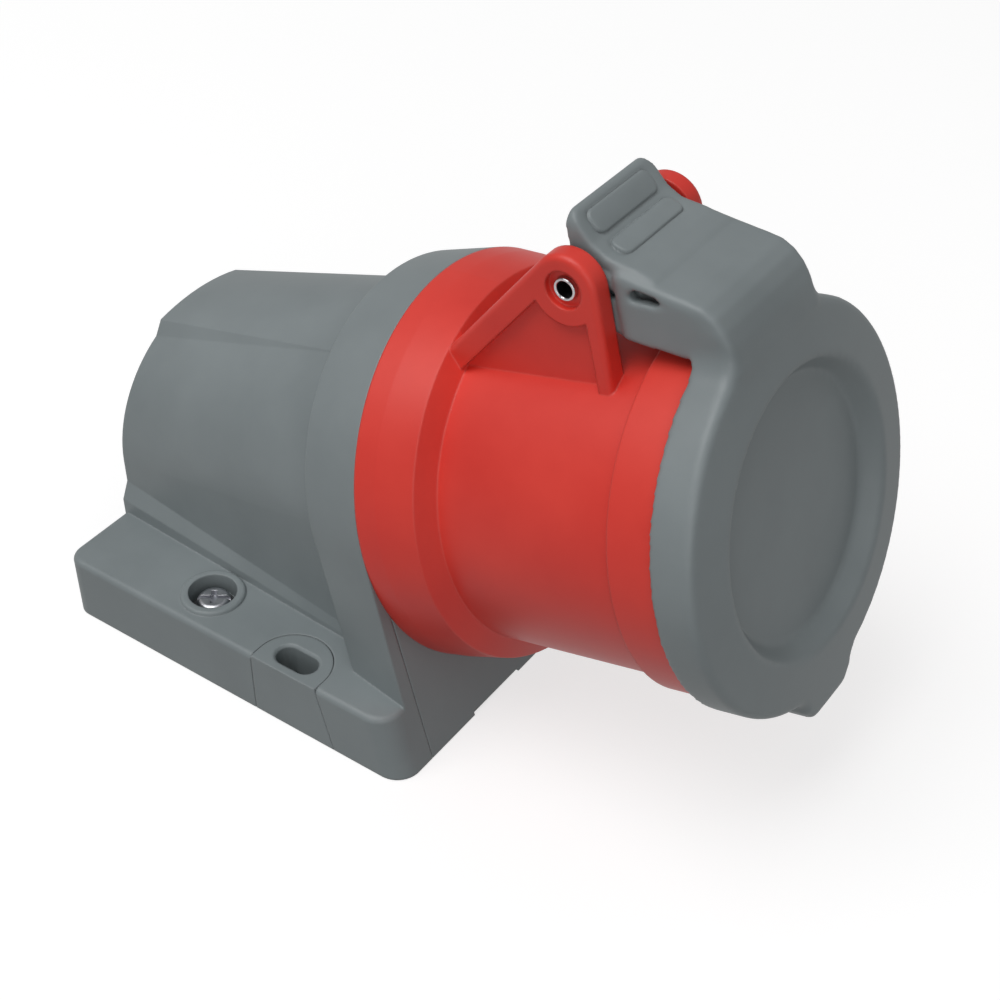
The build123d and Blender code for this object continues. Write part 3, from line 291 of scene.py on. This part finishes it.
def lidBlank():
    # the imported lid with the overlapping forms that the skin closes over
    shape = bmesh.new()
    shape.from_mesh(frame["nodes"]["lid"].data)
    bmesh.ops.remove_doubles(shape, verts=shape.verts, dist=lidSkin["weld"] * mm)
    browBlock(shape)
    for side in (-1, 1):
        for fold in lidSkin["folds"]:
            sideBlock(shape, fold, *sorted(side * beside for beside in lidSkin["foldSides"]))
        sideBlock(shape, lidSkin["lining"], *sorted(side * beside for beside in lidSkin["liningSides"]))
        capFlare(shape, side)
    bmesh.ops.recalc_face_normals(shape, faces=shape.faces)
    mesh = bpy.data.meshes.new("lidSkin")
    shape.to_mesh(mesh)
    shape.free()
    piece = bpy.data.objects.new("lidSkin", mesh)
    bpy.context.scene.collection.objects.link(piece)
    return piece


def closeOver(piece):
    # one closed skin of even faces, applied, so that smoothing works the same everywhere
    grid = piece.modifiers.new("grid", "REMESH")
    grid.mode = "VOXEL"
    grid.voxel_size = lidSkin["voxel"] * mm
    graph = bpy.context.evaluated_depsgraph_get()
    mesh = bpy.data.meshes.new_from_object(piece.evaluated_get(graph))
    piece.modifiers.clear()
    piece.data = mesh


def onKnuckle(spot):
    along, above = alongAndAbove(spot)
    pinAlong, pinAbove = lidSkin["pin"]
    return (along - pinAlong) ** 2 + (above - pinAbove) ** 2 < lidSkin["knuckleKeep"] ** 2


def byWindow(spot):
    along, above = alongAndAbove(spot)
    (back, front), (low, high) = lidSkin["windowU"], lidSkin["windowW"]
    return back < along < front and low < above < high and abs(spot.y) > lidSkin["windowSide"] * mm


def inFlow(spot, share):
    # the band narrows as the share of passes done rises, so that the smoothing fades out at its borders
    along, above = alongAndAbove(spot)
    (back, front), (low, high) = lidSkin["flowU"], lidSkin["flowW"]
    fade = share * lidSkin["flowFade"]
    marginU, marginW = fade * (front - back), fade * (high - low)
    return back + marginU < along < front and low + marginW < above < high - marginW


def soften(shape, points):
    bmesh.ops.smooth_vert(
        shape, verts=points, factor=lidSkin["softness"], use_axis_x=True, use_axis_y=True, use_axis_z=True
    )


def makeLidSkin():
    piece = lidBlank()
    closeOver(piece)
    shape = bmesh.new()
    shape.from_mesh(piece.data)
    free = [point for point in shape.verts if not onKnuckle(point.co)]
    for step in range(lidSkin["edgePasses"]):
        soften(shape, free)
        free = [point for point in free if not byWindow(point.co)]
    for step in range(lidSkin["flowPasses"]):
        soften(shape, [point for point in free if inFlow(point.co, step / lidSkin["flowPasses"])])
    for top, foot in lidSkin["pads"]:
        thumbPad(shape, top, foot)
    for face in shape.faces:
        face.smooth = True
    shape.to_mesh(piece.data)
    shape.free()
    piece.data.materials.clear()
    piece.data.materials.append(finishes["grey_plastic"])
    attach(piece, "lid")
    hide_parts("lid")
    print("lid skin:", len(piece.data.polygons), "faces")


makeLidSkin()

# pale floor and soft light
studio = dict(
    floorSize=6.0, floorDrop=0.0002, paperRoughness=0.9, aim=(0.02, 0, 0.04),
    seenTone=0.8, bounceTone=0.12, glowShare=0.48, glow=1.43, sky=0.33,
    keyPlace=(-0.2, -0.4, 1.1), keyPower=7.4, keySize=0.8,
    sidePlace=(0.7, -0.9, 0.5), sidePower=2.3, sideSize=0.8,
)


def floorPlane():
    mesh = bpy.data.meshes.new("floor")
    shape = bmesh.new()
    bmesh.ops.create_grid(shape, x_segments=1, y_segments=1, size=studio["floorSize"] / 2)
    bmesh.ops.translate(shape, verts=shape.verts, vec=(0, 0, cadBox[0][2] - studio["floorDrop"]))
    shape.to_mesh(mesh)
    shape.free()
    floor = bpy.data.objects.new("floor", mesh)
    bpy.context.scene.collection.objects.link(floor)

    material = bpy.data.materials.new("paper")
    material.use_nodes = True
    nodes, links = material.node_tree.nodes, material.node_tree.links
    paper = nodes["Principled BSDF"]
    paper.inputs["Roughness"].default_value = studio["paperRoughness"]
    tone = nodes.new("ShaderNodeMapRange")  # white to the eye, darker as a reflector
    tone.inputs["To Min"].default_value = studio["bounceTone"]
    tone.inputs["To Max"].default_value = studio["seenTone"]
    glow = nodes.new("ShaderNodeEmission")
    glow.inputs["Strength"].default_value = studio["glow"]
    mix = nodes.new("ShaderNodeMixShader")
    seen = nodes.new("ShaderNodeLightPath")
    share = nodes.new("ShaderNodeMath")
    share.operation = "MULTIPLY"
    share.inputs[1].default_value = studio["glowShare"]
    seenDirectly = nodes.new("ShaderNodeMath")
    seenDirectly.operation = "MAXIMUM"
    links.new(seen.outputs["Is Camera Ray"], tone.inputs["Value"])
    links.new(tone.outputs["Result"], paper.inputs["Base Color"])
    links.new(seen.outputs["Is Camera Ray"], seenDirectly.inputs[0])
    links.new(seen.outputs["Is Glossy Ray"], seenDirectly.inputs[1])
    links.new(seenDirectly.outputs["Value"], share.inputs[0])
    links.new(share.outputs["Value"], mix.inputs["Fac"])
    links.new(paper.outputs["BSDF"], mix.inputs[1])
    links.new(glow.outputs["Emission"], mix.inputs[2])
    links.new(mix.outputs["Shader"], nodes["Material Output"].inputs["Surface"])
    mesh.materials.append(material)


def softLamp(name, place, power, size):
    lamp = bpy.data.lights.new(name, "AREA")
    lamp.energy = power
    lamp.size = size
    holder = bpy.data.objects.new(name, lamp)
    holder.location = place
    holder.rotation_euler = (Vector(studio["aim"]) - Vector(place)).to_track_quat("-Z", "Y").to_euler()
    bpy.context.scene.collection.objects.link(holder)


def whiteSky():
    world = bpy.data.worlds.new("sky")
    world.use_nodes = True
    nodes, links = world.node_tree.nodes, world.node_tree.links
    back = nodes["Background"]
    seen = nodes.new("ShaderNodeLightPath")
    strength = nodes.new("ShaderNodeMapRange")
    strength.inputs["To Min"].default_value = studio["sky"]
    strength.inputs["To Max"].default_value = 1.0
    back.inputs["Color"].default_value = (1, 1, 1, 1)
    links.new(seen.outputs["Is Camera Ray"], strength.inputs["Value"])
    links.new(strength.outputs["Result"], back.inputs["Strength"])
    bpy.context.scene.world = world


floorPlane()
whiteSky()
softLamp("keyLamp", studio["keyPlace"], studio["keyPower"], studio["keySize"])
softLamp("sideLamp", studio["sidePlace"], studio["sidePower"], studio["sideSize"])
print("studio set")

# the photograph's viewpoint
shot = dict(place=(0.1791, -0.2272, 0.2669), azimuth=-54.746, elevation=39.833, lens=65.872, nearest=0.01)
lens = bpy.data.cameras.new("camera")
lens.lens = shot["lens"]
lens.clip_start = shot["nearest"]
camera = bpy.data.objects.new("camera", lens)
camera.location = shot["place"]
camera.rotation_euler = (radians(90 - shot["elevation"]), 0, radians(90 + shot["azimuth"]))
bpy.context.scene.collection.objects.link(camera)
bpy.context.scene.camera = camera
bpy.context.scene.view_settings.view_transform = "Standard"
print("camera set")
